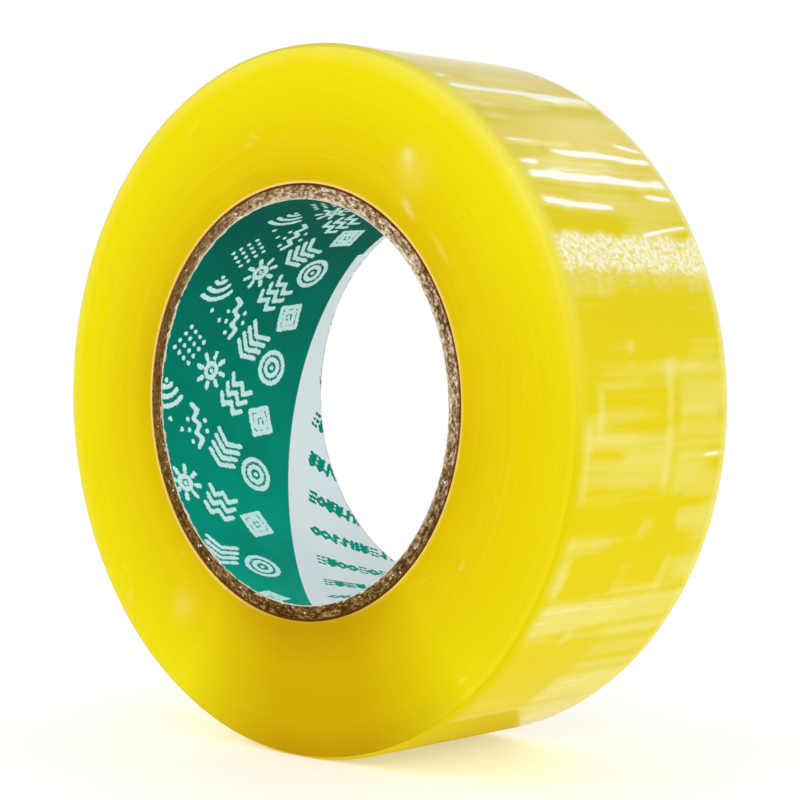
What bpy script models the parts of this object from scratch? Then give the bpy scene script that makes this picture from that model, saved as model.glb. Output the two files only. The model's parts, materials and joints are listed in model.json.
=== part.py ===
"""A roll of clear packing tape on a spiral-wound paperboard core, standing on its rim.

The roll's axis is Y and the middle of its core is the origin. +Z is up and the roll's
front side faces -Y. Angles are measured about the axis, from +X towards +Z.
"""

import math

import bmesh
import bpy
from mathutils import Vector

# The whole roll, in metres
TAPE_WIDTH = 0.045
ROLL_RADIUS = 0.067
FOOT_FLAT_DEPTH = 0.0003  # the roll's own weight flattens the rim where it stands

# The core: a printed liner inside four plies of board
CORE_BORE_RADIUS = 0.038
CORE_WALL = 0.003
LINER_THICKNESS = 0.0002
PLY_COUNT = 4
TOUCH_GAP = 0.0003  # the glue line or air between two pieces that touch
SEAM_LEAD = 0.123  # how far along the axis a ply's edge runs in one turn
SEAM_WIDTH = 0.0004
SEAM_OVERRUN = 0.00225  # how far a seam's blade passes each side of the roll
LINER_SEAM_DEG = -74.0  # where the liner's seam meets the front face
PLY_SEAM_STEP_DEG = 80.0  # each ply's seam is turned this much from the last one's

# The outermost turn of tape and its free end
FILM_THICKNESS = 0.00035
FREE_END_DEG = -55.0  # where the cut end of the tape lies
PEEL_LINE_DEG = -7.0  # where the lifted end stays stuck to the roll
FREE_END_SEGMENTS = 6

# Facets
RING_STEPS = 96
STRIP_STEP_DEG = 3.75
SEGMENT_STEPS = 3
SEAM_STEPS = 18
MERGE_DISTANCE = 0.00001
SMOOTH_BELOW_DEG = 30.0

ROLL_NAME = "packing_tape_roll"


def clear_scene():
    for old in list(bpy.data.objects):
        bpy.data.objects.remove(old, do_unlink=True)


def new_collection(name):
    collection = bpy.data.collections.new(name)
    bpy.context.scene.collection.children.link(collection)
    return collection


def material(name, colour, roughness, metallic=0.0):
    made = bpy.data.materials.new(name)
    made.use_nodes = True
    shader = made.node_tree.nodes["Principled BSDF"]
    shader.inputs["Base Color"].default_value = (*colour, 1.0)
    shader.inputs["Roughness"].default_value = roughness
    shader.inputs["Metallic"].default_value = metallic
    return made


def object_from(name, mesh, collection, parent=None, look=None):
    made = bpy.data.objects.new(name, mesh)
    collection.objects.link(made)
    made.parent = parent
    if look:
        mesh.materials.append(look)
    return made


def mesh_from(name, bm):
    mesh = bpy.data.meshes.new(name)
    bm.to_mesh(mesh)
    bm.free()
    return mesh


def smooth(obj):
    obj.data.shade_smooth()
    obj.data.set_sharp_from_angle(angle=math.radians(SMOOTH_BELOW_DEG))


def on_ring(radius, degrees, y=0.0):
    """The point at this radius and angle about the roll's axis."""
    angle = math.radians(degrees)
    return Vector((radius * math.cos(angle), y, radius * math.sin(angle)))


def foot_half_angle(radius):
    """Half the angle that the flat foot takes up of a ring of this radius, in degrees."""
    return math.degrees(math.acos(1.0 - FOOT_FLAT_DEPTH / radius))


def cutter(name, mesh, cutters):
    """A shape that only takes material away from the pieces."""
    made = object_from(name, mesh, cutters)
    made.hide_render = True
    made.display_type = "WIRE"
    return made


def cut(obj, tool):
    boolean = obj.modifiers.new("Cut " + tool.name, "BOOLEAN")
    boolean.operation = "DIFFERENCE"
    boolean.solver = "EXACT"
    boolean.object = tool


def tube(name, inner_radius, outer_radius, parts, parent, look):
    """A turned ring, as wide as the tape, from a rectangular profile."""
    half = TAPE_WIDTH / 2
    corners = (
        (outer_radius, -half),
        (outer_radius, half),
        (inner_radius, half),
        (inner_radius, -half),
    )
    bm = bmesh.new()
    points = [bm.verts.new((x, y, 0.0)) for x, y in corners]
    for start, end in zip(points, points[1:] + points[:1]):
        bm.edges.new((start, end))
    made = object_from(name, mesh_from(name, bm), parts, parent, look)
    screw = made.modifiers.new("Turn", "SCREW")
    screw.axis = "Y"
    screw.steps = RING_STEPS
    screw.render_steps = RING_STEPS
    screw.use_merge_vertices = True
    screw.merge_threshold = MERGE_DISTANCE
    return made


def seam_cutter(name, inner_radius, outer_radius, front_degrees, cutters):
    """A thin helical blade, where the two edges of one wound ply meet."""
    reach = TAPE_WIDTH / 2 + SEAM_OVERRUN
    clear = TOUCH_GAP / 2
    bm = bmesh.new()
    rows = []
    for step in range(SEAM_STEPS + 1):
        y = -reach + 2 * reach * step / SEAM_STEPS
        degrees = front_degrees - 360.0 * (y + TAPE_WIDTH / 2) / SEAM_LEAD
        rows.append(
            [
                bm.verts.new(on_ring(inner_radius - clear, degrees, y)),
                bm.verts.new(on_ring(outer_radius + clear, degrees, y)),
            ]
        )
    for (low_in, low_out), (high_in, high_out) in zip(rows, rows[1:]):
        bm.faces.new((low_in, low_out, high_out, high_in))
    blade = cutter(name, mesh_from(name, bm), cutters)
    thicken(blade, SEAM_WIDTH, 0.0)
    return blade


def thicken(obj, thickness, offset):
    solidify = obj.modifiers.new("Thickness", "SOLIDIFY")
    solidify.thickness = thickness
    solidify.offset = offset
    solidify.use_even_offset = True


def wrapped_film(name, angles, origin, parts, parent, look):
    """A band of film bent round the roll through these angles, seen from the given origin."""
    half = TAPE_WIDTH / 2
    bm = bmesh.new()
    rows = []
    for degrees in angles:
        edge = on_ring(ROLL_RADIUS, degrees) - origin
        rows.append([bm.verts.new(edge + Vector((0.0, y, 0.0))) for y in (-half, half)])
    for (front, back), (next_front, next_back) in zip(rows, rows[1:]):
        bm.faces.new((front, back, next_back, next_front))
    made = object_from(name, mesh_from(name, bm), parts, parent, look)
    thicken(made, FILM_THICKNESS, -1.0)
    return made


def spaced(start, end, count):
    return [start + (end - start) * step / count for step in range(count + 1)]


def build_core(parts, cutters, axis):
    """The printed liner, then the plies of board, each with its own helical seam."""
    liner_look = material("printed_paper", (0.006, 0.195, 0.138), 0.5)
    board_look = material("paperboard", (0.30, 0.19, 0.10), 0.9)
    liner_outer = CORE_BORE_RADIUS + LINER_THICKNESS
    layers = [("core_liner", CORE_BORE_RADIUS, liner_outer, liner_look)]
    ply_pitch = (CORE_WALL - LINER_THICKNESS) / PLY_COUNT
    for number in range(PLY_COUNT):
        inner = liner_outer + TOUCH_GAP + number * ply_pitch
        outer = inner + ply_pitch - TOUCH_GAP
        layers.append((f"core_ply_{number + 1}", inner, outer, board_look))
    for number, (name, inner, outer, look) in enumerate(layers):
        layer = tube(name, inner, outer, parts, axis, look)
        seam_at = LINER_SEAM_DEG + number * PLY_SEAM_STEP_DEG
        cut(layer, seam_cutter(name + "_seam", inner, outer, seam_at, cutters))
        smooth(layer)


def build_winding(parts, cutters, axis, look):
    """The tape wound on the core, under its outermost turn, with a flat where it stands."""
    inner = CORE_BORE_RADIUS + CORE_WALL + TOUCH_GAP
    outer = ROLL_RADIUS - FILM_THICKNESS - TOUCH_GAP
    winding = tube("tape_winding", inner, outer, parts, axis, look)
    bm = bmesh.new()
    block_size = 2 * TAPE_WIDTH
    bmesh.ops.create_cube(bm, size=block_size)
    block = cutter("foot_block", mesh_from("foot_block", bm), cutters)
    block.location.z = -(outer - FOOT_FLAT_DEPTH) - block_size / 2
    cut(winding, block)
    smooth(winding)


def build_outer_turn(parts, axis, look):
    """The outermost turn, from the peel line round the top and the foot to the cut end."""
    end_gap = math.degrees(TOUCH_GAP / ROLL_RADIUS)
    foot = foot_half_angle(ROLL_RADIUS)
    foot_start, foot_end = 270.0 - foot, 270.0 + foot
    start = PEEL_LINE_DEG + end_gap / 2
    end = 360.0 + FREE_END_DEG - end_gap
    around = round((foot_start - start) / STRIP_STEP_DEG)
    past_foot = round((end - foot_end) / STRIP_STEP_DEG)
    angles = spaced(start, foot_start, around) + spaced(foot_end, end, past_foot)
    smooth(wrapped_film("tape_outer_turn", angles, Vector(), parts, axis, look))


def build_free_end(parts, axis, look):
    """The free end of the tape as a chain of strips, each with its origin on its hinge line."""
    half_gap = math.degrees(TOUCH_GAP / ROLL_RADIUS) / 2
    lines = spaced(PEEL_LINE_DEG, FREE_END_DEG, FREE_END_SEGMENTS)
    parent, parent_hinge = axis, Vector()
    for number, (hinge_deg, far_deg) in enumerate(zip(lines, lines[1:]), start=1):
        hinge = on_ring(ROLL_RADIUS, hinge_deg)
        last = number == FREE_END_SEGMENTS
        low = far_deg if last else far_deg + half_gap
        angles = spaced(low, hinge_deg - half_gap, SEGMENT_STEPS)
        strip = wrapped_film(f"tape_free_end_{number}", angles, hinge, parts, parent, look)
        strip.location = hinge - parent_hinge
        smooth(strip)
        parent, parent_hinge = strip, hinge


def main():
    clear_scene()
    parts = new_collection(ROLL_NAME)
    cutters = new_collection(ROLL_NAME + "_cutters")
    axis = bpy.data.objects.new("roll_axis", None)
    parts.objects.link(axis)
    film_look = material("clear_yellow_film", (0.87, 0.72, 0.02), 0.12)
    winding_look = material("wound_tape", (0.84, 0.70, 0.01), 0.3)
    build_core(parts, cutters, axis)
    build_winding(parts, cutters, axis, winding_look)
    build_outer_turn(parts, axis, film_look)
    build_free_end(parts, axis, film_look)


main()
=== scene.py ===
"""The looks of a roll of clear packing tape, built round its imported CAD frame.

The roll's axis is Y and the middle of its core is the origin. Angles run about the axis from
+X towards +Z, in degrees. Depth runs from the front side (-Y) to the back one, in mm. Other
lengths are in metres, unless their comment says mm.
"""

import json
import math

import bpy
import bmesh
import numpy as np
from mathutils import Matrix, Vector


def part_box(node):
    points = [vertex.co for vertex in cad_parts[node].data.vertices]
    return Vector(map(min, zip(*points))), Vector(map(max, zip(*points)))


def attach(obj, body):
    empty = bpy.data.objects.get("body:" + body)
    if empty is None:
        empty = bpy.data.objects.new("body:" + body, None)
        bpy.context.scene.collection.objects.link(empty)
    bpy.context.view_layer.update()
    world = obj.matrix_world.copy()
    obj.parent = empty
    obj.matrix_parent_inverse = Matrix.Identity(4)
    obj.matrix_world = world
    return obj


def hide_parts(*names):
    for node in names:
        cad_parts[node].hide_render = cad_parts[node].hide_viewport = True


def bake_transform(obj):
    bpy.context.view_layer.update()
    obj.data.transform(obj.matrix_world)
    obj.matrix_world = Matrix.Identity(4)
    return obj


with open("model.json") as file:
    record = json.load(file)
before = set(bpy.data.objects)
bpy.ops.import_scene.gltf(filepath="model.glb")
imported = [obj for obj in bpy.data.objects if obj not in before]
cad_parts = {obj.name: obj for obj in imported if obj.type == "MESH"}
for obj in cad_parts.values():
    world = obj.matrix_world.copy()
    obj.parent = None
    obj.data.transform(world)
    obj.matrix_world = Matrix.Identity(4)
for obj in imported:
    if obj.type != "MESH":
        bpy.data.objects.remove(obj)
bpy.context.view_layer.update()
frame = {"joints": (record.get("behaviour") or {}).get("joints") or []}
MM = 0.001
RNG = np.random.default_rng(20)

# ---------------------------------------------------------------- sizes read from the frame
CAD_LINER = 0.2 * MM  # thickness of the frame's liner
JOINTS = frame["joints"]
HINGES = [math.degrees(math.atan2(j["pos_m"][2], j["pos_m"][0])) for j in JOINTS]
HINGE_STEP = HINGES[0] - HINGES[1]
PEEL_LINE = HINGES[0]
FREE_END = HINGES[-1] - HINGE_STEP
ROLL_RADIUS = math.hypot(JOINTS[0]["pos_m"][0], JOINTS[0]["pos_m"][2])
HALF_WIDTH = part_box("tape_winding")[1].y
WIDTH = 2 * HALF_WIDTH
FLOOR_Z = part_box("tape_outer_turn")[0].z
BORE_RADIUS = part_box("core_liner")[1].z - CAD_LINER
PLIES = [f"core_ply_{number}" for number in range(1, 5)]
PLY_OUTER = [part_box(name)[1].z for name in PLIES]
CORE_RADIUS = PLY_OUTER[-1]

FILM = 0.06 * MM  # thickness of the outermost turn
RIM = 2.0 * MM  # radius of the soft edge between a side and the outside
LINER = 0.15 * MM
HAIR_GAP = 0.02 * MM


# ---------------------------------------------------------------- camera, lights and floor
CAMERA_ROUND = 42.69  # degrees from the front side towards +X
CAMERA_UP = 1.68  # degrees above the middle of the roll
CAMERA_DISTANCE = 0.4315
CAMERA_ASIDE = 0.0042  # how far the picture's middle is to the right of the roll's
CAMERA_LENS = 99.7
FLOOR_SIZE = 6.0
FLOOR_GAP = 0.05 * MM


def make_camera():
    """A camera at the height of the roll, looking at the front side from its right."""
    azimuth, elevation = math.radians(CAMERA_ROUND), math.radians(CAMERA_UP)
    back = Vector(
        (
            math.sin(azimuth) * math.cos(elevation),
            -math.cos(azimuth) * math.cos(elevation),
            math.sin(elevation),
        )
    )
    sideways = Vector((math.cos(azimuth), math.sin(azimuth), 0.0))
    data = bpy.data.cameras.new("camera")
    data.lens = CAMERA_LENS
    data.sensor_width = 36.0
    data.clip_start = 0.01
    data.dof.use_dof = False
    camera = bpy.data.objects.new("camera", data)
    bpy.context.scene.collection.objects.link(camera)
    camera.location = back * CAMERA_DISTANCE + sideways * CAMERA_ASIDE
    camera.rotation_mode = "QUATERNION"
    camera.rotation_quaternion = (-back).to_track_quat("-Z", "Y")
    bpy.context.scene.camera = camera


def area_light(name, place, size, power):
    """A white rectangular light that points at the middle of the roll."""
    data = bpy.data.lights.new(name, "AREA")
    data.shape = "RECTANGLE"
    data.size, data.size_y = size
    data.energy = power
    light = bpy.data.objects.new(name, data)
    bpy.context.scene.collection.objects.link(light)
    light.location = place
    light.rotation_mode = "QUATERNION"
    light.rotation_quaternion = (-Vector(place)).to_track_quat("-Z", "Y")


def make_studio():
    """A white room: an even pale world, a soft key, a long strip behind for the film's glints."""
    world = bpy.data.worlds.new("studio")
    world.use_nodes = True
    tree = world.node_tree
    height = split(tree, add(tree, "TexCoord").outputs["Generated"])[2]
    glow = ramp(tree, height, [(0.0, 1.0), (0.3, 1.0), (0.65, 0.68), (1.0, 0.6)])
    tree.links.new(glow, tree.nodes["Background"].inputs["Color"])
    bpy.context.scene.world = world
    area_light("key", (-0.45, -0.85, 0.75), (0.5, 0.5), 1.0)
    area_light("fill", (0.85, -0.65, 0.45), (0.4, 0.4), 1.6)
    area_light("strip", (0.20, 0.80, 0.72), (0.9, 0.07), 0.45)
    bpy.context.scene.view_settings.view_transform = "Standard"


def make_floor():
    """A wide pale floor that glows faintly, so that it stays close to white."""
    bm = bmesh.new()
    bmesh.ops.create_grid(bm, x_segments=1, y_segments=1, size=FLOOR_SIZE)
    mesh = bpy.data.meshes.new("floor")
    bm.to_mesh(mesh)
    bm.free()
    floor = bpy.data.objects.new("floor", mesh)
    bpy.context.scene.collection.objects.link(floor)
    floor.location.z = FLOOR_Z - FLOOR_GAP
    look, _, shader = new_look("floor", 0.6)
    shader.inputs["Base Color"].default_value = (0.93, 0.93, 0.93, 1.0)
    shader.inputs["Emission Color"].default_value = (1.0, 1.0, 1.0, 1.0)
    shader.inputs["Emission Strength"].default_value = 0.32
    mesh.materials.append(look)


# ---------------------------------------------------------------- material nodes
FILM_ROUGHNESS = 0.15
FILM_GLOSS = 0.06


def new_look(name, roughness, **sockets):
    """A new material, its node tree and its shader, with the named sockets set."""
    look = bpy.data.materials.new(name)
    look.use_nodes = True
    tree = look.node_tree
    shader = tree.nodes["Principled BSDF"]
    shader.inputs["Roughness"].default_value = roughness
    for socket, value in sockets.items():
        shader.inputs[socket.replace("_", " ")].default_value = value
    return look, tree, shader


def add(tree, kind, sockets=None, **settings):
    """A node with its settings, and each of its sockets set to a value or linked to a socket."""
    made = tree.nodes.new("ShaderNode" + kind)
    for setting, value in settings.items():
        setattr(made, setting, value)
    for socket, value in (sockets or {}).items():
        if isinstance(value, bpy.types.NodeSocket):
            tree.links.new(value, made.inputs[socket])
        else:
            made.inputs[socket].default_value = value
    return made


def maths(tree, operation, first, second=0.0, clamp=False):
    """One operation on two numbers or sockets."""
    node = add(tree, "Math", {0: first, 1: second}, operation=operation, use_clamp=clamp)
    return node.outputs[0]


def mixed(tree, factor, first, second):
    """One colour turning into another as factor goes from 0 to 1."""
    def colour(value):
        return (*value, 1.0) if isinstance(value, tuple) and len(value) == 3 else value

    sockets = {0: factor, 6: colour(first), 7: colour(second)}
    return add(tree, "Mix", sockets, data_type="RGBA").outputs[2]


def ramp(tree, factor, stops):
    """A colour or grey level that follows factor through (place, colour) stops."""
    node = add(tree, "ValToRGB", {0: factor})
    elements = node.color_ramp.elements
    while len(elements) < len(stops):
        elements.new(1.0)
    for element, (place, value) in zip(elements, stops):
        element.position = place
        element.color = (*value, 1.0) if isinstance(value, tuple) else (value, value, value, 1.0)
    return node.outputs[0]


def spread(tree, value, low, high, at_low=0.0, at_high=1.0):
    """A number that goes from at_low to at_high as value goes from low to high, and no further."""
    sockets = {0: value, 1: low, 2: high, 3: at_low, 4: at_high}
    return add(tree, "MapRange", sockets).outputs[0]


def noise(tree, vector, scale, detail=3.0, roughness=0.55):
    """Cloudy grey, from about 0.3 to 0.7."""
    sockets = {"Vector": vector, "Scale": scale, "Detail": detail, "Roughness": roughness}
    return add(tree, "TexNoise", sockets).outputs["Fac"]


def stretched(tree, vector, scale):
    """The same vector with each of its axes scaled, for noise that is longer one way."""
    return add(tree, "Mapping", {"Vector": vector, "Scale": scale}).outputs[0]


def bumped(tree, shader, height, strength, distance):
    """Gives the shader the relief of this height."""
    sockets = {"Height": height, "Strength": strength, "Distance": distance}
    bump = add(tree, "Bump", sockets)
    tree.links.new(bump.outputs[0], shader.inputs["Normal"])


def attribute(tree, name, output="Fac"):
    """What keep() stored on the piece's points under this name."""
    return add(tree, "Attribute", attribute_name=name).outputs[output]


def object_place(tree):
    """Where a point of the piece is, in metres."""
    return add(tree, "TexCoord").outputs["Object"]


def split(tree, vector):
    """A vector's three numbers, each as a socket."""
    return add(tree, "SeparateXYZ", {0: vector}).outputs


def ring_place(tree):
    """The radius in metres, and a vector for noise that lies in rings round the axis."""
    place = split(tree, object_place(tree))
    flat = add(tree, "CombineXYZ", {0: place[0], 1: place[2]}).outputs[0]
    radius = add(tree, "VectorMath", {0: flat}, operation="LENGTH").outputs["Value"]
    around = split(tree, add(tree, "VectorMath", {0: flat}, operation="NORMALIZE").outputs[0])
    return radius, add(tree, "CombineXYZ", {0: around[0], 1: around[1], 2: radius}).outputs[0]


def between(tree, radius, inner, outer):
    """0 at the inner radius and 1 at the outer one."""
    past = maths(tree, "SUBTRACT", radius, inner)
    return maths(tree, "DIVIDE", past, outer - inner, clamp=True)


def toward(tree, polar, degrees):
    """1 where the roll faces this angle, 0 a quarter turn away and -1 on the far side."""
    way = (math.cos(math.radians(degrees)), math.sin(math.radians(degrees)), 0.0)
    return add(tree, "VectorMath", {0: polar, 1: way}, operation="DOT_PRODUCT").outputs["Value"]


# ---------------------------------------------------------------- meshes
SMOOTH_BELOW = 40.0  # edges that turn less than this are shaded smooth, degrees


def on_ring(radius, degrees, y):
    """Points at these radii, angles and places along the axis, as one array."""
    angle = np.radians(degrees)
    return np.stack(np.broadcast_arrays(radius * np.cos(angle), y, radius * np.sin(angle)), -1)


def loop_faces(rows, across, closed_round):
    """Faces through a row of closed loops of points. The loops' ends are capped, or meet."""
    index = np.arange(rows * across).reshape(rows, across)
    if closed_round:
        index = np.vstack([index, index[:1]])
    near, far = index[:-1], index[1:]
    near_next, far_next = np.roll(near, -1, 1), np.roll(far, -1, 1)
    faces = np.stack([near, near_next, far_next, far], -1).reshape(-1, 4).tolist()
    if not closed_round:
        for row, turn in ((index[0], 1), (index[-1], -1)):
            for low in range(across // 2 - 1):
                high = across - 1 - low
                faces.append([row[i] for i in (low, low + 1, high - 1, high)][::turn])
    return faces


def loops_solid(name, solids, look, closed_round):
    """One piece from closed solids, each of them an array of loops of points."""
    points, faces = [], []
    for loops in solids:
        first = len(points)
        points += loops.reshape(-1, 3).tolist()
        made = loop_faces(*loops.shape[:2], closed_round)
        faces += [[first + corner for corner in face] for face in made]
    mesh = bpy.data.meshes.new(name)
    mesh.from_pydata(points, [], faces)
    bm = bmesh.new()
    bm.from_mesh(mesh)
    bmesh.ops.recalc_face_normals(bm, faces=bm.faces)
    bm.to_mesh(mesh)
    bm.free()
    return finished(name, mesh, look)


def finished(name, mesh, look):
    """The piece made of this mesh, smooth but for its sharp edges."""
    mesh.shade_smooth()
    mesh.set_sharp_from_angle(angle=math.radians(SMOOTH_BELOW))
    mesh.materials.append(look)
    piece = bpy.data.objects.new(name, mesh)
    bpy.context.scene.collection.objects.link(piece)
    return piece


def keep(piece, name, values, kind="FLOAT"):
    """Stores one value or vector for each point of a piece, for its material to read."""
    made = piece.data.attributes.new(name, kind, "POINT")
    field = "vector" if kind == "FLOAT_VECTOR" else "value"
    made.data.foreach_set(field, np.asarray(values, np.float32).ravel())


def rim_drop(y):
    """How far the soft rim falls below the outside at this place along the axis."""
    past = np.clip(np.abs(y) - (HALF_WIDTH - RIM), 0.0, RIM)
    return RIM - np.sqrt(RIM**2 - past**2)


def stand_on(points, height):
    """Flattens what would reach below the floor, as the roll's own weight does."""
    points[..., 2] = np.maximum(points[..., 2], height)
    return points


# ---------------------------------------------------------------- the print on the core's lining
# Angles here run from -PRINT_TURN to 360 less that, and count from the far side (-X) of the bore.
# Depths and the sizes of marks are in mm.
PRINT_TURN = 125.0
GREEN_SPLIT = 110.0  # below this angle the green is on the front side, above it on the back one
GREEN_DEEPEST = 44.0
GREEN_GONE = 235.0  # where the green on the back side ends
GREEN_SLANT = 45.0  # how far the edge of the green runs across the lining up to there
EDGE_AT_ZERO, EDGE_SLOPE, EDGE_BEND = 37.83, 0.19, 0.00208  # the curved edge of the green
EDGE_KINK = -51.0  # below this angle its edge is nearly straight
EDGE_AT_KINK, EDGE_RUN = 43.3, 0.05

MARK_ROWS = 20  # rows of large marks round the bore
MARKS_IN_ROW = 4
MARK_FIRST = -25.4  # where the first row ends
MARK_SWAY = 4.6  # how far the rows stray from an even spacing, degrees
MARK_STEP = (8.1, 6.9)  # from one mark to the next in a row: degrees, and depth
MARK_SIZE = 3.45  # half the size of a large mark
MARK_STROKE = 0.50  # half the width of its strokes
MARK_REACH = 2.2  # all of a mark lies within this many times its half size
MARK_CLEAR = 9.5  # from the last mark in a row to the edge of the green
MARK_PAST = 2.0  # a large mark's middle lies at most this far outside the front edge
LINE_ROWS = 28  # rows of small marks on the white part
LINE_LENGTH = 24  # most marks in such a row
LINE_FIRST = 46.8
LINE_STEP = (2.0, 1.8)
LINE_SIZE = 1.7
LINE_STROKE = 0.42
LINE_CLEAR = 7.0  # from the edge of the green to the first mark in a row
LINE_INSET = 3.0  # the same from the front edge, where that is white
LINE_END = 46.0  # where the middles of small marks end
LINE_MARGIN = 2.6  # from a small mark's middle to the green


def round_path(x, y, radius, start=0.0, sweep=360.0, count=13):
    """A circle or an arc round (x, y), as count points."""
    turn = np.radians(start + np.linspace(0.0, sweep, count))
    return [(x + radius * math.cos(t), y + radius * math.sin(t)) for t in turn]


def dot(x, y):
    """A stroke so short that it prints as a dot."""
    return [(x, y), (x + 0.01, y)]


def diamond(size):
    """A square on one of its corners, as one closed stroke."""
    return [(0.0, size), (size, 0.0), (0.0, -size), (-size, 0.0), (0.0, size)]


def zigzag(y, reach, rise):
    """Two peaks from side to side, at this height."""
    return [(-reach, y), (-reach / 2, y + rise), (0.0, y), (reach / 2, y + rise), (reach, y)]


def rays(inner, outer, count=8):
    """Short strokes that point away from the middle."""
    turns = np.radians(np.arange(count) * 360.0 / count + 22.5)
    return [
        [(inner * math.cos(t), inner * math.sin(t)), (outer * math.cos(t), outer * math.sin(t))]
        for t in turns
    ]


# Abstract ornaments, each drawn as strokes in a square from -1 to 1
LARGE_MARKS = (
    [diamond(1.0), diamond(0.52), dot(0.0, 0.0)],
    [zigzag(y, 0.95, 0.5) for y in (-0.95, -0.25, 0.45)],
    [round_path(0.0, 0.0, 0.42), dot(0.0, 0.0), *rays(0.75, 1.05)],
    [dot(x, y) for x in (-0.78, -0.26, 0.26, 0.78) for y in (-0.78, -0.26, 0.26, 0.78)],
    [round_path(0.0, 0.0, 0.95, count=25), round_path(0.0, 0.0, 0.5), dot(0.0, 0.0)],
    [[(-0.95, y), (0.0, y + 0.5), (0.95, y)] for y in (-1.0, -0.5, 0.0, 0.5)],
    [[(-0.95, -0.9), (-0.35, -0.9), (-0.35, -0.3), (0.25, -0.3), (0.25, 0.3), (0.85, 0.3),
      (0.85, 0.9)], dot(-0.7, 0.0), dot(-0.25, 0.45), dot(-0.75, 0.75), dot(0.3, 0.9),
     dot(0.45, -0.75), dot(0.9, -0.3)],
    [round_path(-0.9, -0.9, 0.5, 0.0, 90.0, 5), round_path(-0.9, -0.9, 1.05, 0.0, 90.0, 7),
     round_path(-0.9, -0.9, 1.6, 4.0, 82.0, 9), dot(-0.85, -0.85), dot(0.75, 0.75)],
)
SMALL_MARKS = (
    [diamond(0.62)],
    [[(-0.34, -0.8), (-0.34, 0.8)], [(0.34, -0.8), (0.34, 0.8)]],
    [[(-0.36, y), (0.36, y)] for y in (-0.7, 0.0, 0.7)],
    [dot(x, y) for x in (-0.3, 0.3) for y in (-0.75, 0.0, 0.75)],
    [[(-0.4, y), (0.0, y + 0.5), (0.4, y)] for y in (-0.85, -0.25, 0.35)],
    [[(0.0, -0.8), (0.0, 0.8)], dot(-0.45, 0.4), dot(0.45, -0.4)],
)


def turned(degrees):
    """An angle about the roll's axis, as the print's own functions count it."""
    return (np.asarray(degrees) + (180.0 + PRINT_TURN)) % 360.0 - PRINT_TURN


def green_edge(degrees):
    """Depth (mm) up to which the lining is green, where the green is on the front side."""
    curved = EDGE_AT_ZERO - EDGE_SLOPE * degrees - EDGE_BEND * degrees**2
    return np.where(degrees > EDGE_KINK, curved, EDGE_AT_KINK - EDGE_RUN * (degrees - EDGE_KINK))


def green_share(degrees, depth):
    """Above 0 where the lining is printed green, below 0 where it is white; both in mm."""
    back_edge = GREEN_SLANT * (GREEN_GONE - degrees) / (GREEN_GONE - GREEN_SPLIT)
    return np.where(degrees < GREEN_SPLIT, green_edge(degrees) - depth, depth - back_edge)


def stroke_distance(u, v, strokes, size, half):
    """How far each point (mm) is inside the nearest stroke of a mark; below 0 outside it."""
    best = np.full(u.shape, -9.0)
    for stroke in strokes:
        path = np.array(stroke) * size
        for (x0, y0), (x1, y1) in zip(path, path[1:]):
            along = (u - x0) * (x1 - x0) + (v - y0) * (y1 - y0)
            along = np.clip(along / ((x1 - x0) ** 2 + (y1 - y0) ** 2), 0.0, 1.0)
            away = np.hypot(u - x0 - along * (x1 - x0), v - y0 - along * (y1 - y0))
            best = np.maximum(best, half - away)
    return best


def print_mark(ink, turn, depth, place, step, strokes, size, half):
    """Adds one mark to the ink, turned so that its row runs along its side."""
    per_degree = math.radians(1.0) * BORE_RADIUS / MM
    aside = ((turn - place[0] + 180.0) % 360.0 - 180.0) * per_degree
    deep = depth - place[1]
    row = np.array([step[0] * per_degree, step[1]])
    row = row / np.hypot(*row)
    near = np.hypot(aside, deep) < MARK_REACH * size
    u = aside[near] * row[0] + deep[near] * row[1]
    v = aside[near] * row[1] - deep[near] * row[0]
    ink[near] = np.maximum(ink[near], stroke_distance(u, v, strokes, size, half))


def printed_ink(turn, depth):
    """How far inside a printed mark each point is, in mm."""
    ink = np.full(turn.shape, -2.0)
    for row in range(MARK_ROWS):
        even = 360.0 * row / MARK_ROWS
        last = MARK_FIRST + even - MARK_SWAY * math.sin(math.radians(even))
        edge = float(green_edge(turned(last - 180.0)))
        last_depth = (GREEN_DEEPEST if edge < 0.0 else min(edge, GREEN_DEEPEST)) - MARK_CLEAR
        for number in range(MARKS_IN_ROW):
            place = (last - number * MARK_STEP[0], last_depth - number * MARK_STEP[1])
            on_green = green_share(turned(place[0] - 180.0), max(place[1], 0.5))
            clear = 0.9 * MARK_SIZE if place[0] > 100.0 else 0.0
            if place[1] > -MARK_PAST and on_green > clear:
                strokes = LARGE_MARKS[(MARKS_IN_ROW * row + number) % len(LARGE_MARKS)]
                print_mark(ink, turn, depth, place, MARK_STEP, strokes, MARK_SIZE, MARK_STROKE)
    for row in range(LINE_ROWS):
        first = float(turned(LINE_FIRST + 360.0 * row / LINE_ROWS - 180.0))
        on_front = first < GREEN_SPLIT
        start = max(green_edge(first), 0.0) + LINE_CLEAR if on_front else LINE_INSET
        for number in range(LINE_LENGTH):
            place = (first + number * LINE_STEP[0], start + number * LINE_STEP[1])
            strokes = SMALL_MARKS[int(RNG.integers(len(SMALL_MARKS)))]
            on_green = green_share(turned(place[0] - 180.0), place[1])
            if place[1] < LINE_END and on_green < -LINE_MARGIN:
                print_mark(ink, turn, depth, place, LINE_STEP, strokes, LINE_SIZE, LINE_STROKE)
    return ink


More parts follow.
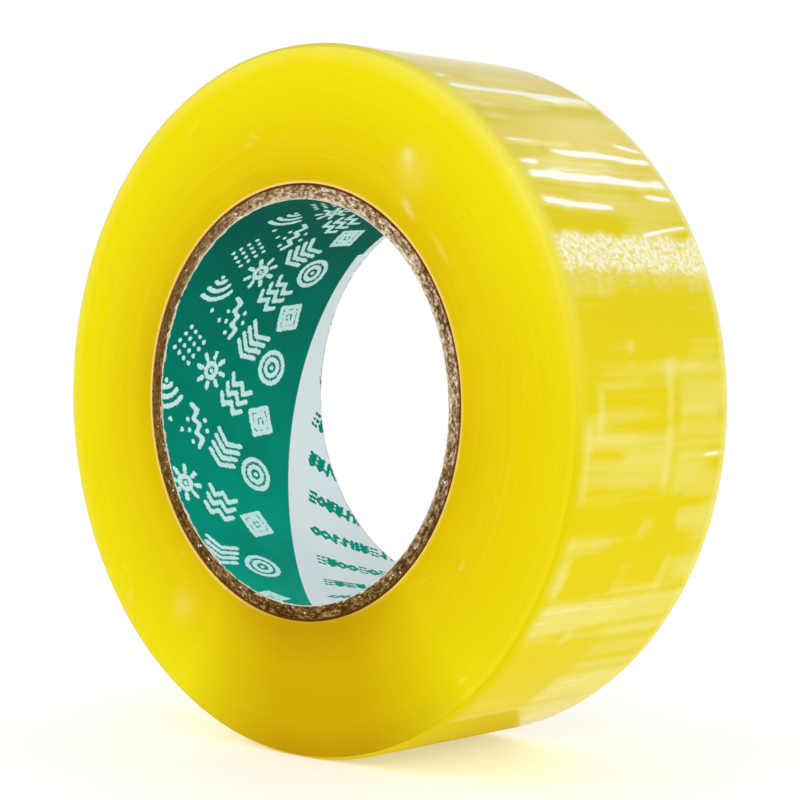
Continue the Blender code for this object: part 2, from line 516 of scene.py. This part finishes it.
# ---------------------------------------------------------------- the core
LINER_STEP = 0.6  # degrees between its loops of points
LINER_POINTS = 137  # across its width
LINER_RAGGED = 0.05 * MM
LINER_SWAY = 0.08 * MM  # its cut edges also wander in and out, seven times a turn
PLY_STEP = 0.5
PLY_POINTS = 5  # from its inner to its outer side
PLY_INSET = 0.05 * MM  # how far its cut ends lie inside the roll's sides
PLY_ROUGH = 0.07 * MM
PLY_FILL = 0.15 * MM  # a ply is this much thicker than in the frame, to close the gap outside it
GROOVE = (0.35 * MM, 0.25 * MM)  # the outermost ply ends a little deeper: width, depth
SHREDS = 150


def build_liner(looks):
    """The printed paper in the bore, with cut edges that are a little ragged."""
    angles = np.arange(0.0, 360.0, LINER_STEP)
    ragged = RNG.normal(0.0, LINER_RAGGED, (len(angles), 2))
    ragged += LINER_SWAY * np.sin(np.radians(angles * 7))[:, None]
    share = np.linspace(-1.0, 1.0, LINER_POINTS)
    reach = np.where(share < 0, HALF_WIDTH + ragged[:, :1], HALF_WIDTH + ragged[:, 1:])
    y = share[None, :] * reach
    inside = on_ring(BORE_RADIUS, angles[:, None], y)
    ends = y[:, [-1, 0]]
    outside = on_ring(BORE_RADIUS + LINER, angles[:, None], ends)
    piece = loops_solid("core_lining", [np.concatenate([inside, outside], 1)], looks["liner"], True)
    depth = (np.concatenate([y, ends], 1) + HALF_WIDTH) / MM
    turn = turned(np.broadcast_to(angles[:, None], depth.shape))
    keep(piece, "green", green_share(turn, depth))
    keep(piece, "ink", printed_ink(turn, depth))
    keep(piece, "depth", depth)
    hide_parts("core_liner")
    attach(piece, "roll")


def build_plies(looks):
    """Each ply fills its room between its neighbours, and its cut ends are rough."""
    angles = np.arange(0.0, 360.0, PLY_STEP)
    inner = BORE_RADIUS + LINER + HAIR_GAP
    for name, cad_outer in zip(PLIES, PLY_OUTER):
        outer = cad_outer + (PLY_FILL if name != PLIES[-1] else 0.0)
        radii = np.linspace(inner, outer, PLY_POINTS)
        shape = (len(angles), len(radii))
        inset = PLY_INSET + np.where(radii > CORE_RADIUS - GROOVE[0], GROOVE[1], 0.0)
        front = -HALF_WIDTH + inset + RNG.normal(0.0, PLY_ROUGH, shape)
        back = HALF_WIDTH - inset + RNG.normal(0.0, PLY_ROUGH, shape)
        loops = np.concatenate(
            [
                on_ring(radii, angles[:, None], front),
                on_ring(radii, angles[:, None], back)[:, ::-1],
            ],
            1,
        )
        piece = loops_solid(name.replace("core_", "board_"), [loops], looks["board"], True)
        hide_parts(name)
        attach(piece, "roll")
        inner = outer + HAIR_GAP


def build_shreds(looks):
    """Torn slivers of paper where the core was cut, along both of its ends. Sizes are in mm."""
    slivers = []
    for number in range(SHREDS):
        side = -1.0 if number % 3 else 1.0
        at_lining = number % 2 == 0
        radius = RNG.uniform(38.0, 38.35) if at_lining else RNG.uniform(38.4, 40.2)
        length = RNG.uniform(0.5, 2.2) if at_lining else RNG.uniform(0.3, 0.9)
        turn, slope = RNG.uniform(0.0, 360.0), RNG.uniform(-0.35, 0.35)
        width, proud = RNG.uniform(0.10, 0.22), RNG.uniform(0.03, 0.16)
        loops = []
        for share in (-1.0, -0.6, 0.0, 0.6, 1.0):
            full = 1.0 - 0.85 * share**2
            middle = radius + slope * share * length / 2
            lift = proud * (0.3 + 0.7 * (share + 1.0) / 2)
            angle = turn + math.degrees(share * length / 2 / radius)
            corners = ((-width, 0.0), (0.0, -0.05), (width, 0.0), (0.0, 0.05))
            radii = np.array([middle + across * full for across, _ in corners]) * MM
            y = np.array([lift + thick * full for _, thick in corners]) * MM
            loops.append(on_ring(radii, angle, side * (HALF_WIDTH + y)))
        slivers.append(np.array(loops))
    piece = loops_solid("core_shreds", slivers, looks["shreds"], False)
    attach(piece, "roll")


# ---------------------------------------------------------------- the tape
# Painted soft highlights on the front side: angle, radius (mm), half widths (deg, mm), strength
SIDE_SHEENS = (
    (57.5, 52.5, 1.6, 1.6, 0.28),
    (55.0, 51.0, 4.0, 3.6, 0.08),
    (52.3, 45.6, 1.3, 0.6, 0.35),
    (50.0, 44.9, 1.6, 0.4, 0.30),
    (38.0, 45.6, 3.0, 0.35, 0.16),
    (232.0, 51.5, 3.0, 3.0, 0.10),
)


SIDE_RINGS = 70  # rings of points on each side
WINDING_STEP = 0.9  # degrees between its loops of points
RIM_POINTS = 8
FLAT_POINTS = 12  # across the outside
SIDE_WAVES = ((3.1, 12), (7.7, 8), (17.3, 6))  # how its sides swell: waves, and height in microns
SIDE_ROUGH = 5.0  # microns from turn to turn
SIDE_TWIST = 8e4  # how fast the swell of the rings turns round the roll, degrees per metre


def build_winding(looks):
    """The wound turns: sides of fine uneven rings, and soft rims where they meet the outside."""
    outer = ROLL_RADIUS - FILM - HAIR_GAP
    inner = CORE_RADIUS + HAIR_GAP
    side = np.linspace(inner, outer - RIM, SIDE_RINGS)
    angles = np.arange(0.0, 360.0, WINDING_STEP)
    rim = np.radians(np.linspace(0.0, 90.0, RIM_POINTS))[1:-1]
    across = np.linspace(-(HALF_WIDTH - RIM), HALF_WIDTH - RIM, FLAT_POINTS)
    turns = np.zeros_like(side)
    for wave, height in SIDE_WAVES:
        turns += height * np.sin(wave * (side - inner) / (outer - inner) * 2 * np.pi + wave)
    turns = (turns + RNG.normal(0.0, SIDE_ROUGH, len(side))) * MM / 1000
    turns[-1] = 0.0
    swing = 1.0 + 0.4 * np.sin(np.radians(angles[:, None] + SIDE_TWIST * side[None, :]))
    relief = np.abs(turns[None, :] * swing)
    face_r = np.broadcast_to(side, relief.shape)
    rim_r = outer - RIM + RIM * np.sin(rim)
    rim_y = HALF_WIDTH - RIM + RIM * np.cos(rim)
    ones = np.ones((len(angles), 1))
    flat_r = np.full((len(angles), len(across)), outer)
    radii = np.concatenate([face_r, rim_r * ones, flat_r, rim_r[::-1] * ones, face_r[:, ::-1]], 1)
    front = np.concatenate([relief - HALF_WIDTH, -rim_y * ones], 1)
    back = np.concatenate([rim_y[::-1] * ones, HALF_WIDTH - relief[:, ::-1]], 1)
    places = np.concatenate([front, across * ones, back], 1)
    loops = on_ring(radii, angles[:, None], places)
    loops = stand_on(loops, FLOOR_Z + FILM + HAIR_GAP)
    piece = loops_solid("tape_turns", [loops], looks["winding"], True)
    # The painted soft highlights on the front side, for the material to read
    side_sheen = np.zeros_like(radii)
    for angle, radius, half_turn, half_radius, strength in SIDE_SHEENS:
        aside = (angles[:, None] - angle) / half_turn
        out = (radii / MM - radius) / half_radius
        side_sheen += strength * np.exp(-(aside**2 + out**2)) * (places < 0.0)
    keep(piece, "side_sheen", side_sheen)
    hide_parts("tape_winding")
    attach(piece, "roll")


# Wrinkles that run across the tape: angle, first and last depth (mm), half width (deg),
# height (mm), lean (deg from front to back)
WRINKLES = (
    (31.4, 0.5, 25.0, 0.85, 0.16, -1.8),
    (36.7, 0.3, 44.7, 1.3, 0.30, -0.5),
    (39.6, 0.5, 10.5, 0.8, 0.18, 0.0),
    (41.9, 11.0, 44.7, 0.95, 0.24, -1.0),
    (43.9, 0.5, 24.0, 0.8, 0.10, -0.4),
    (46.2, 33.0, 44.7, 0.6, 0.16, -5.0),
    (34.0, 31.0, 44.7, 0.65, 0.18, -0.2),
    (26.3, 24.0, 44.7, 0.6, 0.12, 5.6),
    (57.5, 0.3, 44.7, 1.35, 0.26, -1.0),
    (61.5, 0.3, 9.0, 1.0, 0.20, 0.0),
    (50.3, 1.0, 11.0, 0.7, 0.06, 1.5),
    (-7.6, 34.0, 44.7, 0.5, 0.12, 0.5),
    (2.0, 40.0, 44.7, 0.4, 0.10, 0.0),
    (-29.0, 31.0, 35.0, 0.6, 0.10, 1.0),
    (97.0, 4.0, 44.0, 0.7, 0.20, 1.5),
    (112.0, 0.3, 30.0, 0.8, 0.22, -1.5),
    (131.0, 12.0, 44.7, 0.6, 0.16, 1.0),
    (168.0, 0.3, 20.0, 0.6, 0.14, 1.0),
    (201.0, 22.0, 44.7, 0.7, 0.16, -1.0),
)


# Where air has spread (above 0) or the film has wetted out (below 0): angle, half width (deg),
# first and last depth (mm), strength
PATCHES = (
    (-51.5, 4.5, 20.0, 45.0, 0.6),
    (-49.5, 1.5, 0.0, 20.0, 0.25),
    (-43.0, 4.5, 0.0, 20.0, -0.8),
    (-43.0, 3.5, 22.0, 45.0, 0.2),
    (-33.0, 3.0, 0.0, 45.0, 0.7),
    (-26.0, 3.8, 4.0, 20.0, -0.8),
    (-37.2, 1.8, 12.0, 45.0, 0.35),
    (-20.5, 6.0, 25.0, 31.5, -0.7),
    (-17.5, 4.5, 31.0, 45.0, 0.4),
    (-19.0, 2.3, 0.0, 28.0, 0.6),
    (-15.2, 1.5, 1.5, 26.0, -0.4),
    (-9.5, 2.6, 3.0, 27.0, 0.3),
    (-7.0, 1.6, 12.0, 26.0, 0.3),
    (-4.5, 1.1, 4.0, 27.0, 0.3),
    (-4.6, 0.9, 28.0, 45.0, -0.5),
    (-0.9, 1.0, 8.0, 25.0, 0.2),
    (-1.0, 5.5, 27.5, 45.0, 0.35),
    (-1.0, 1.8, 27.5, 42.0, 0.4),
    (-10.0, 4.0, 27.5, 45.0, 0.35),
    (3.2, 1.1, 6.0, 27.0, 0.35),
    (8.0, 1.8, 27.5, 45.0, -0.4),
    (13.5, 3.8, 0.0, 34.0, -0.8),
    (49.0, 6.0, 8.0, 36.0, -0.35),
    (276.0, 20.0, 0.0, 45.0, -1.0),
    (300.0, 7.0, 20.0, 45.0, 0.4),
)


# Faint pale lines that run along the tape: depth (mm), first and last angle, strength
RAILS = (
    (26.2, -14.0, 8.0, 0.5),
    (15.6, 5.0, 12.5, 0.35),
    (6.3, -5.5, 4.5, 0.45),
    (2.6, -15.0, -1.0, 0.5),
    (22.5, -22.0, -14.0, 0.3),
    (33.5, -31.0, -20.0, 0.35),
    (14.0, -46.0, -30.0, 0.25),
)


def soft_box(value, low, high, blur):
    """1 between low and high and 0 beyond them, with soft ends."""
    return np.clip((value - low) / blur, 0, 1) * np.clip((high - value) / blur, 0, 1)


BLOT_COUNT = 380


def make_blots():
    """Random soft blots all round: angle, depth, half width (deg), half depth (mm), strength."""
    angle = RNG.uniform(-60.0, 310.0, BLOT_COUNT)
    depth = RNG.uniform(-2.0, 47.0, BLOT_COUNT)
    half_turn = RNG.uniform(0.6, 2.6, BLOT_COUNT)
    half_depth = RNG.uniform(4.0, 16.0, BLOT_COUNT)
    strength = RNG.normal(0.0, 0.28, BLOT_COUNT)
    return np.stack([angle, depth, half_turn, half_depth, strength], 1)


BLOTS = make_blots()


FILM_SLACK = 0.012 * MM  # the film's slight waves between its wrinkles
FULL_CREST = 0.14  # a wrinkle this high or more (mm) gets its painted glint at full strength
BARE = 0.08  # how pale the film is where nothing lies under it
BUBBLES = (20.2, 27.2)  # a band of tiny air bubbles across the tape, from angle to angle
FAINT_BUBBLES = (17.5, 24.0)
ROOM_REFLECTION = (28.0, 150.0, 12.0)  # where the film is paler and more beige with a painted reflection of the room: from, to and blur, degrees
TOP_AMBER = (58.0, 125.0, 22.0)  # where its top is darker
GLOW = (-8.0, 240.0, 45.0)  # where its rims are pale with light that comes through the roll
AMBER_FROM, AMBER_FADE = 225.0, 40.0  # where the amber at the foot, painted shade near the floor, starts, and how slowly
AMBER_TO, AMBER_BLUR = 304.5, 2.0  # where it ends
AMBER_SIDE = (303.0, 20.0, 1.3, 3.0)  # its slanted side: angle, depth there, mm per degree, blur


def film_height(degrees, depth):
    """How far the film stands off the turn below, with the strength of the painted glint on each
    wrinkle and of the painted glow round it.
    """
    height = np.zeros(np.broadcast(degrees, depth).shape)
    crest_glints = np.zeros_like(height)
    glint_halos = np.zeros_like(height)
    for centre, first, last, half, tall, lean in WRINKLES:
        sway = 0.12 * np.sin(depth * 0.35 + centre)
        off = degrees - centre - sway - lean * (depth / (WIDTH / MM) - 0.5)
        wide = half * (1.05 + 0.18 * np.sin(depth * 0.21 + centre * 2.0))
        wide = wide * (1.0 + 0.1 * np.sin(depth * 0.83 + centre))
        ends = soft_box(depth, first, last, 4.0)
        crest = np.exp(-((off / wide) ** 2)) * ends
        height += tall * MM * crest
        fade = 0.95 + 0.05 * np.sin(depth * 0.37 + centre * 3.0)
        shown = min(1.0, tall / FULL_CREST)
        crest_glints = np.maximum(crest_glints, crest * fade * shown)
        glint_halos = np.maximum(glint_halos, np.exp(-((off / (2.6 * wide)) ** 2)) * ends * shown)
    slack = np.sin(np.radians(degrees) * 31 + depth * 0.05) * np.sin(np.radians(degrees) * 13 + 2)
    return height + FILM_SLACK * (1 + slack), crest_glints, glint_halos


def film_cover(degrees, depth, crest_glints, glint_halos):
    """How pale with air and with painted glints, how flecked with bubbles and how strong the
    painted reflection of the room is on the film, each from 0 to 1.
    """
    pale = np.full(crest_glints.shape, BARE)
    for centre, deep, wide, long, strength in BLOTS:
        near = ((degrees - centre) / wide) ** 2 + ((depth - deep) / long) ** 4
        pale += strength * np.exp(-near)
    waver = 0.4 * np.sin(depth * 0.7) + 0.25 * np.sin(depth * 1.9 + 1.0)
    for centre, half, first, last, strength in PATCHES:
        across = soft_box(degrees + 0.3 * waver, centre - half, centre + half, 1.2)
        pale += strength * across * soft_box(depth, first, last, 2.5)
    for deep, first, last, strength in RAILS:
        line = np.exp(-(((depth - deep) / 1.3) ** 2)) * soft_box(degrees, first, last, 3.0)
        pale += strength * line
    pale = np.clip(pale + 0.15 * glint_halos, 0.0, 0.7)
    pale = np.maximum(pale, 1.25 * crest_glints)
    fleck = soft_box(degrees + 0.8 * waver, *BUBBLES, 1.3)
    fleck = np.maximum(fleck, 0.25 * soft_box(degrees + 1.5 * waver, *FAINT_BUBBLES, 3.0))
    edge = np.clip((np.abs(depth - WIDTH / MM / 2) - WIDTH / MM / 2 + 3.0) / 3.0, 0, 1)
    room_reflection = soft_box(degrees, *ROOM_REFLECTION) * (1 - edge)
    return np.stack(np.broadcast_arrays(pale, fleck, room_reflection), -1)


FINE_STEP, COARSE_STEP = 0.2, 0.75  # degrees between the film's loops of points
FILM_POINTS = 61  # across its width
FILM_INSET = 0.25 * RIM  # how far its edges lie inside the roll's sides
CUT_GAP = 0.05  # between the film's cut end and the next piece, degrees
FOLD_REACH = 2.6  # a distance from a hinge, degrees


def fine_angles(start, end):
    """Angles from start to end, close together where the film is wrinkled."""
    angles = [start]
    while angles[-1] < end:
        here = angles[-1]
        near = any(
            abs(here + 0.3 - centre) < 2.2 * half + abs(lean) / 2 + 0.3
            for centre, _, _, half, _, lean in WRINKLES
        )
        angles.append(here + (FINE_STEP if near else COARSE_STEP))
    angles[-1] = end
    return np.array(angles)


def foot_amber(around, depth):
    """1 on the amber stretch at the foot, painted shade near the floor, with a slanted side near
    the film's cut end.
    """
    starting = np.clip((around - AMBER_FROM) / AMBER_FADE, 0, 1)
    ending = np.clip((AMBER_TO - around) / AMBER_BLUR, 0, 1)
    angle, deep, slope, blur = AMBER_SIDE
    past = np.clip((depth - deep - slope * (angle - around)) / blur, 0, 1)
    return starting * ending * (1.0 - past)


def film_piece(name, start, end, look):
    """A stretch of the outermost turn, a thin shell over the soft rims, from start up to end."""
    angles = fine_angles(start, end)
    edge = HALF_WIDTH - FILM_INSET
    y = np.linspace(-edge, edge, FILM_POINTS)[None, :]
    depth = (y + HALF_WIDTH) / MM
    height, crest_glints, glint_halos = film_height(angles[:, None], depth)
    cover = film_cover(angles[:, None], depth, crest_glints, glint_halos)
    base = ROLL_RADIUS - FILM - rim_drop(y)
    inside = stand_on(on_ring(base + height, angles[:, None], y), FLOOR_Z + FILM)
    outside = stand_on(on_ring(base + FILM + height, angles[:, None], y), FLOOR_Z)
    loops = np.concatenate([outside, inside[:, ::-1]], 1)
    piece = loops_solid(name, [loops], look, False)
    along = np.radians(angles)[:, None] * ROLL_RADIUS
    wrap = np.stack(np.broadcast_arrays(along, y, 0.0), -1)
    keep(piece, "wrap", np.concatenate([wrap, wrap[:, ::-1]], 1), "FLOAT_VECTOR")
    keep(piece, "cover", np.concatenate([cover, cover[:, ::-1]], 1), "FLOAT_VECTOR")
    around = np.broadcast_to(angles[:, None], loops.shape[:2])
    foot = foot_amber(around, np.concatenate([depth, depth[:, ::-1]], 1))
    keep(piece, "amber", foot + 0.4 * soft_box(around, *TOP_AMBER))
    keep(piece, "glow", soft_box(around, *GLOW))
    return piece


def build_film(looks):
    """The outermost turn on the roll, then the free end, in pieces, of which only the tip rides on
    a body.
    """
    turn = film_piece("film_turn", PEEL_LINE, 360.0 + FREE_END - CUT_GAP, looks["film"])
    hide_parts("tape_outer_turn")
    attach(turn, "roll")
    upper = PEEL_LINE
    for number, (joint, hinge) in enumerate(zip(JOINTS, HINGES), start=1):
        lower = hinge - HINGE_STEP / 2
        piece = film_piece(f"film_end_{number}", lower, upper, looks["film_end"])
        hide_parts(f"tape_free_end_{number}")
        first = hinge if number == 1 else hinge + FOLD_REACH
        on_ring(ROLL_RADIUS, first, 0.0)
        on_ring(ROLL_RADIUS, hinge - FOLD_REACH, 0.0)
        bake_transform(piece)
        upper = lower
    tip = film_piece("film_tip", FREE_END, upper, looks["film_end"])
    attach(tip, JOINTS[-1]["child"])


# ---------------------------------------------------------------- materials
def make_liner_look():
    """Green and white print, with painted shade that darkens it towards the top of the bore. The
    ink wears away at the marks' edges, the cut paper edge is bare.
    """
    look, tree, shader = new_look("printed_paper", 0.6, Specular_IOR_Level=0.02)
    place = object_place(tree)
    wear = maths(tree, "SUBTRACT", noise(tree, place, 1900.0, 2.0), 0.5)
    green = maths(tree, "MULTIPLY", attribute(tree, "green"), 8.0, clamp=True)
    ink = maths(tree, "ADD", attribute(tree, "ink"), maths(tree, "MULTIPLY", wear, 0.7))
    ink = maths(tree, "MULTIPLY", maths(tree, "ADD", ink, 0.06), 9.0, clamp=True)
    printed = maths(tree, "ABSOLUTE", maths(tree, "SUBTRACT", green, ink))

    half_width = WIDTH / MM / 2
    from_middle = maths(tree, "SUBTRACT", attribute(tree, "depth"), half_width)
    from_edge = maths(tree, "SUBTRACT", half_width, maths(tree, "ABSOLUTE", from_middle))
    torn = noise(tree, place, 420.0, 4.0, 0.7)
    torn_away = maths(tree, "MULTIPLY", maths(tree, "SUBTRACT", torn, 0.38), 1.9)
    bare = maths(tree, "LESS_THAN", from_edge, torn_away)

    cloud = noise(tree, place, 60.0, 3.0)
    # Painted shade: the green and the white are darker towards the top of the bore
    shade = spread(tree, split(tree, place)[2], -0.036, 0.038, 0.0, 0.82)
    greens = ramp(tree, cloud, [(0.35, (0.001, 0.33, 0.235)), (0.65, (0.001, 0.40, 0.285))])
    greens = mixed(tree, shade, greens, (0.0, 0.045, 0.03))
    whites = ramp(tree, cloud, [(0.35, (0.90, 0.94, 1.0)), (0.65, (0.94, 0.97, 1.0))])
    whites = mixed(tree, maths(tree, "MULTIPLY", green, 0.8), whites, (0.66, 0.98, 0.94))
    # The same painted shade on the white, but weaker
    whites = mixed(tree, maths(tree, "MULTIPLY", shade, 0.25), whites, (0.30, 0.55, 0.50))
    colour = mixed(tree, printed, whites, greens)
    colour = mixed(tree, bare, colour, (0.74, 0.68, 0.56))
    tree.links.new(colour, shader.inputs["Base Color"])
    bumped(tree, shader, torn, 0.15, 0.0001)
    return look


def make_board_look():
    """Brown board, speckled with fibres that lie round the core, paler to the upper right."""
    look, tree, shader = new_look("paperboard", 0.95, Specular_IOR_Level=0.02)
    radius, polar = ring_place(tree)
    fibres = noise(tree, stretched(tree, polar, (34.0, 34.0, 1700.0)), 1.0, 5.0, 0.72)
    patches = noise(tree, stretched(tree, polar, (7.0, 7.0, 500.0)), 1.0, 2.0)
    patches = maths(tree, "MULTIPLY", maths(tree, "SUBTRACT", patches, 0.5), 0.25)
    calm = spread(tree, toward(tree, polar, 165.0), 0.2, 0.9, 0.0, 0.6)
    level = mixed(tree, calm, maths(tree, "ADD", fibres, patches), (0.52, 0.52, 0.52))
    brown = [(0.37, (0.05, 0.018, 0.001)), (0.48, (0.10, 0.045, 0.004)),
             (0.56, (0.25, 0.14, 0.035)), (0.66, (0.50, 0.36, 0.14))]
    pale = [(0.37, (0.10, 0.045, 0.014)), (0.48, (0.30, 0.17, 0.07)),
            (0.56, (0.70, 0.53, 0.34)), (0.66, (1.0, 0.96, 0.86))]
    side = spread(tree, toward(tree, polar, 45.0), -1.0, 1.0)
    pale_side = ramp(tree, side, [(0.3, 0.04), (0.63, 0.30), (0.85, 0.78), (1.0, 0.95)])
    colour = mixed(tree, pale_side, ramp(tree, level, brown), ramp(tree, level, pale))

    inner = spread(tree, radius, 38.3 * MM, 39.0 * MM, 0.8, 0.0)
    frayed = maths(tree, "MULTIPLY", pale_side, ramp(tree, level, [(0.40, 0.3), (0.55, 1.0)]))
    colour = mixed(tree, maths(tree, "MULTIPLY", inner, frayed), colour, (0.84, 0.76, 0.55))
    # Painted shadow on the outer part of the outermost ply, in the groove next to the turns
    share = between(tree, radius, PLY_OUTER[-2], CORE_RADIUS)
    groove_shadow = ramp(tree, share, [(0.2, 0.0), (0.45, 0.9)])
    colour = mixed(tree, groove_shadow, colour, (0.13, 0.054, 0.004))
    tree.links.new(colour, shader.inputs["Base Color"])
    bumped(tree, shader, level, 0.9, 0.0003)
    return look


def make_shreds_look():
    """Pale torn fibres, browner here and there."""
    look, tree, shader = new_look("torn_paper", 0.9, Specular_IOR_Level=0.05)
    tone = noise(tree, object_place(tree), 500.0, 3.0)
    colour = ramp(tree, tone, [(0.38, (0.36, 0.24, 0.15)), (0.58, (0.86, 0.80, 0.72))])
    tree.links.new(colour, shader.inputs["Base Color"])
    bumped(tree, shader, tone, 0.4, 0.0001)
    return look


def make_winding_look():
    """Yellow through and through: golden at the core, lemon at the rim, with faint rings."""
    look, tree, shader = new_look("wound_tape", 0.4, Specular_IOR_Level=0.01)
    radius, polar = ring_place(tree)
    place = object_place(tree)
    share = between(tree, radius, CORE_RADIUS, ROLL_RADIUS)
    # From core to rim: a cream line, a painted highlight where the first turns catch the light,
    # then gold that turns lemon towards the rim, painted light that comes through the turns
    core_to_rim = [
        (0.0, (0.95, 0.60, 0.20)), (0.010, (0.95, 0.60, 0.20)), (0.022, (0.65, 0.45, 0.001)),
        (0.25, (0.74, 0.56, 0.001)), (0.55, (0.79, 0.645, 0.001)), (0.84, (0.82, 0.705, 0.002)),
        (1.0, (0.81, 0.70, 0.004)),
    ]
    colour = ramp(tree, share, core_to_rim)

    # Painted light that comes through the rim at the upper left, and painted shade on the lower
    # right
    glow = spread(tree, toward(tree, polar, 115.0), -0.5, 0.2, 0.08, 1.0)
    at_rim = ramp(tree, share, [(0.84, 0.0), (0.93, 0.3), (1.0, 1.0)])
    colour = mixed(tree, maths(tree, "MULTIPLY", glow, at_rim), colour, (0.94, 0.88, 0.15))
    dim = spread(tree, toward(tree, polar, -15.0), 0.7, 0.95, 0.0, 0.35)
    colour = mixed(tree, dim, colour, (0.70, 0.50, 0.001))

    # Clouds, painted soft highlights, rings and scuffs on the sides
    clouds = ramp(tree, noise(tree, place, 70.0, 3.0), [(0.35, 0.0), (0.70, 0.30)])
    colour = mixed(tree, clouds, colour, (0.83, 0.62, 0.001))
    # Painted soft highlights, broken up by noise
    sheen_breakup = ramp(tree, noise(tree, place, 400.0, 3.0), [(0.30, 0.5), (0.60, 1.0)])
    side_sheens = maths(tree, "MULTIPLY", attribute(tree, "side_sheen"), sheen_breakup)
    colour = mixed(tree, side_sheens, colour, (0.98, 0.95, 0.62))
    rings = noise(tree, stretched(tree, polar, (1.3, 1.3, 3500.0)), 1.0, 2.0)
    faint = maths(tree, "MULTIPLY", maths(tree, "SUBTRACT", rings, 0.5), 0.35, clamp=True)
    colour = mixed(tree, faint, colour, (0.95, 0.88, 0.10))
    scuffs = noise(tree, stretched(tree, polar, (6.0, 6.0, 210.0)), 1.0, 5.0, 0.6)
    colour = mixed(tree, ramp(tree, scuffs, [(0.66, 0.0), (0.95, 0.5)]), colour, (0.97, 0.92, 0.40))

    # The outside, which shows where the free end is lifted
    across = split(tree, place)[1]
    around = split(tree, polar)
    outside = add(tree, "CombineXYZ", {0: around[0], 1: around[1], 2: across}).outputs[0]
    streaks = noise(tree, stretched(tree, outside, (30.0, 30.0, 60.0)), 1.0, 4.0, 0.6)
    streaks = ramp(tree, streaks, [(0.35, 0.0), (0.60, 1.0)])
    under = mixed(tree, streaks, (0.80, 0.66, 0.004), (0.86, 0.76, 0.07))
    at_outside = spread(tree, radius, ROLL_RADIUS - 0.6 * MM, ROLL_RADIUS - 0.2 * MM)
    colour = mixed(tree, at_outside, colour, under)

    # Painted shade: the sides turn amber towards the foot, where the roll stands on the floor
    foot = spread(tree, toward(tree, polar, 276.0), 0.82, 0.985, 0.0, 0.95)
    amber = [(0.08, (0.52, 0.32, 0.001)), (0.35, (0.60, 0.395, 0.001)),
             (0.75, (0.58, 0.38, 0.001)), (0.95, (0.50, 0.30, 0.001))]
    colour = mixed(tree, foot, colour, ramp(tree, share, amber))
    tree.links.new(colour, shader.inputs["Base Color"])
    bumped(tree, shader, rings, 0.15, 0.0001)
    return look


def make_film_look(name, gloss):
    """Clear film over yellow turns: pale where air lies under it, deep where it is wetted, with
    painted glints on its wrinkles and a painted reflection of the room on its top.
    """
    look, tree, shader = new_look(name, FILM_ROUGHNESS, Specular_IOR_Level=gloss)
    wrap = attribute(tree, "wrap", "Vector")
    pale, fleck, room_reflection = split(tree, attribute(tree, "cover", "Vector"))
    streaks = noise(tree, stretched(tree, wrap, (700.0, 45.0, 1.0)), 1.0, 3.0, 0.5)
    # Stronger streaks, and beige, under the painted reflection of the room
    contrast = maths(tree, "ADD", 0.45, maths(tree, "MULTIPLY", room_reflection, 0.55))
    streaks = maths(tree, "MULTIPLY", maths(tree, "SUBTRACT", streaks, 0.5), contrast)
    pale = maths(tree, "ADD", pale, streaks)
    tint = noise(tree, stretched(tree, wrap, (160.0, 25.0, 1.0)), 1.0, 2.0)
    beige = ramp(tree, tint, [(0.40, (0.70, 0.61, 0.015)), (0.60, (0.79, 0.61, 0.08))])
    deep = mixed(tree, room_reflection, (0.765, 0.625, 0.001), beige)
    milky = mixed(tree, room_reflection, (0.82, 0.72, 0.15), (0.84, 0.725, 0.17))
    colour = mixed(tree, ramp(tree, pale, [(0.05, 0.0), (0.65, 1.0)]), deep, milky)
    # Painted glints: near white on the wrinkles
    colour = mixed(tree, ramp(tree, pale, [(0.70, 0.0), (1.05, 1.0)]), colour, (1.0, 0.99, 0.88))
    bubbles = noise(tree, stretched(tree, wrap, (1050.0, 860.0, 1.0)), 1.0, 3.0, 0.65)
    bubbles = maths(tree, "MULTIPLY", ramp(tree, bubbles, [(0.38, 0.15), (0.58, 1.0)]), fleck)
    colour = mixed(tree, bubbles, colour, (0.96, 0.92, 0.68))

    # The soft rims at the front and the back, paler with painted light that comes through the roll,
    # the back one with a painted highlight along it, then the amber stretch at the foot, painted
    # shade near the floor
    across = split(tree, wrap)[1]
    glow = attribute(tree, "glow")
    front = spread(tree, across, 3.2 * MM - HALF_WIDTH, 0.8 * MM - HALF_WIDTH)
    front_rim = mixed(tree, glow, (0.73, 0.60, 0.001), (0.87, 0.78, 0.09))
    colour = mixed(tree, front, colour, front_rim)
    back = spread(tree, across, HALF_WIDTH - 3.5 * MM, HALF_WIDTH - 1.0 * MM, 0.0, 0.8)
    back_rim_highlight = mixed(tree, glow, (0.88, 0.82, 0.28), (0.95, 0.93, 0.50))
    colour = mixed(tree, back, colour, back_rim_highlight)
    # Amber at the foot, painted shade near the floor, and a darker top
    amber = attribute(tree, "amber")
    colour = mixed(tree, amber, colour, (0.70, 0.56, 0.001))
    dull = spread(tree, amber, 0.5, 1.0, FILM_ROUGHNESS, 0.7)
    dull = spread(tree, front, 0.0, 1.0, dull, 0.5)
    tree.links.new(dull, shader.inputs["Roughness"])
    tree.links.new(colour, shader.inputs["Base Color"])
    return look


def main():
    make_camera()
    make_studio()
    make_floor()
    looks = {
        "liner": make_liner_look(),
        "board": make_board_look(),
        "shreds": make_shreds_look(),
        "winding": make_winding_look(),
        "film": make_film_look("clear_film", FILM_GLOSS),
        "film_end": make_film_look("handled_film", FILM_GLOSS / 2),
    }
    build_liner(looks)
    build_plies(looks)
    build_shreds(looks)
    build_winding(looks)
    build_film(looks)


main()
